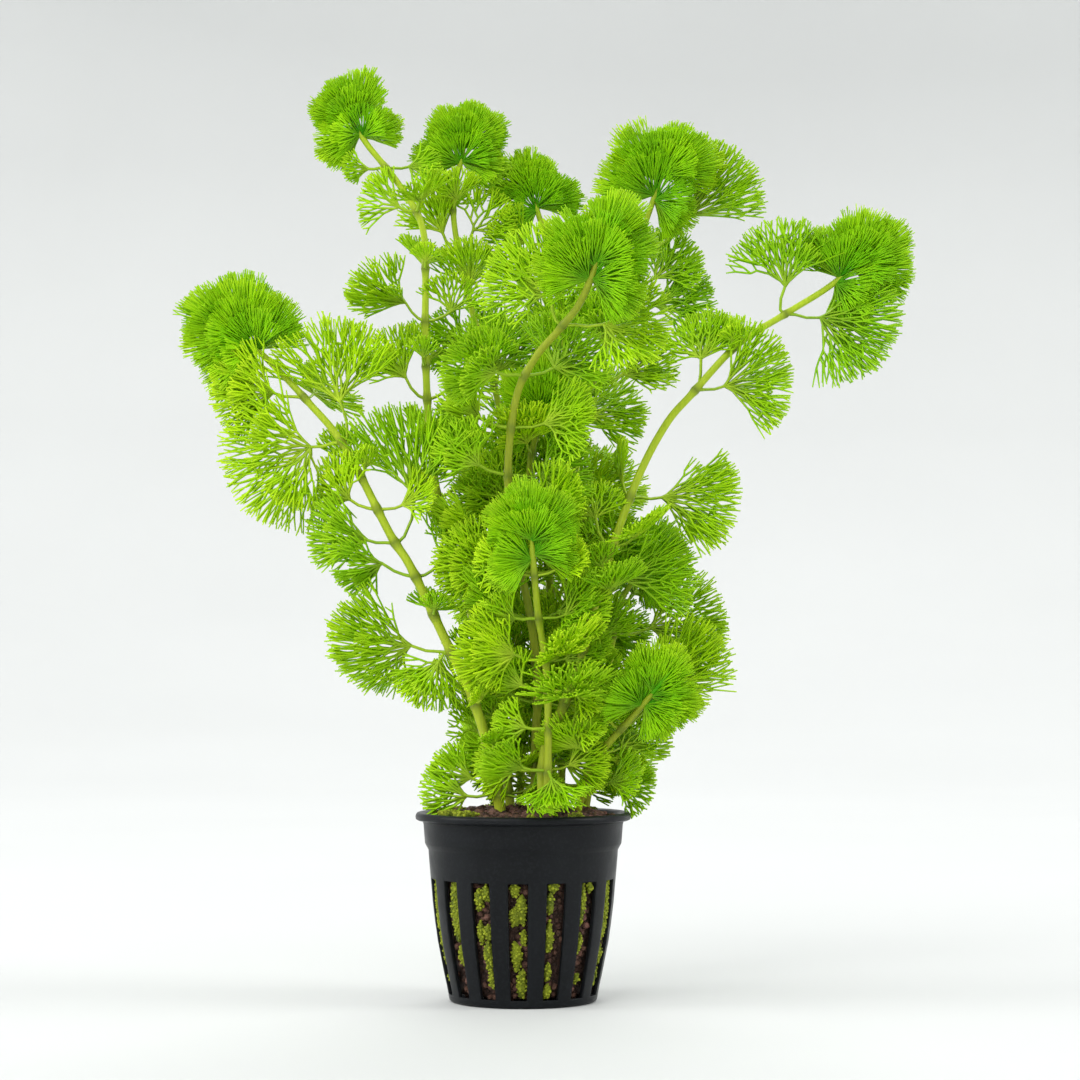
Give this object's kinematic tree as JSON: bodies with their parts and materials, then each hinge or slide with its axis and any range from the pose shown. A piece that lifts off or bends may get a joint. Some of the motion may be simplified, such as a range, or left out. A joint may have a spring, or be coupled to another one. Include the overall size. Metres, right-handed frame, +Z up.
{
  "type": "potted aquarium plant",
  "caption": "Cabomba planted in soil in a slotted net pot: slender stems carry pairs of finely divided fan-shaped leaves and a dense tuft at each tip.",
  "frame": {"origin": "centre of the pot's underside", "axes": "+Z up along the plant's height, -Y towards the front"},
  "size_m": [0.176, 0.0998, 0.2265],
  "materials": {
    "pot": "satin moulded plastic",
    "soil": "damp granular soil with moss",
    "stem": "smooth green stem",
    "leaf": "fine green leaf filaments"
  },
  "bodies": {
    "root": {"leaf_pair_a_102": "leaf", "leaf_pair_a_110": "leaf", "leaf_pair_a_134": "leaf", "leaf_pair_a_145": "leaf", "leaf_pair_a_53": "leaf", "leaf_pair_a_84": "leaf", "leaf_pair_b_146": "leaf", "leaf_pair_b_165": "leaf", "leaf_pair_b_192": "leaf", "leaf_pair_c_160": "leaf", "leaf_pair_c_184": "leaf", "leaf_pair_d_92": "leaf", "leaf_pair_e_150": "leaf", "leaf_pair_e_166": "leaf", "leaf_pair_e_180": "leaf", "leaf_pair_f_121": "leaf", "leaf_pair_f_166": "leaf", "leaf_pair_f_72": "leaf", "leaf_pair_f_97": "leaf", "leaf_pair_g_66": "leaf", "leaf_pair_h_58": "leaf", "leaf_pair_h_88": "leaf", "leaf_pair_i_56": "leaf", "leaf_pair_j_142": "leaf", "leaf_pair_j_172": "leaf", "leaf_pair_j_76": "leaf", "pot": "pot", "soil": "soil", "stem_a": "stem", "stem_b": "stem", "stem_c": "stem", "stem_d": "stem", "stem_e": "stem", "stem_f": "stem", "stem_g": "stem", "stem_h": "stem", "stem_i": "stem", "stem_j": "stem", "stem_k": "stem", "tip_tuft_a": "leaf", "tip_tuft_b": "leaf", "tip_tuft_c": "leaf", "tip_tuft_d": "leaf", "tip_tuft_e": "leaf", "tip_tuft_f": "leaf", "tip_tuft_g": "leaf", "tip_tuft_h": "leaf", "tip_tuft_i": "leaf", "tip_tuft_j": "leaf", "tip_tuft_k": "leaf"}
  },
  "joints": []
}
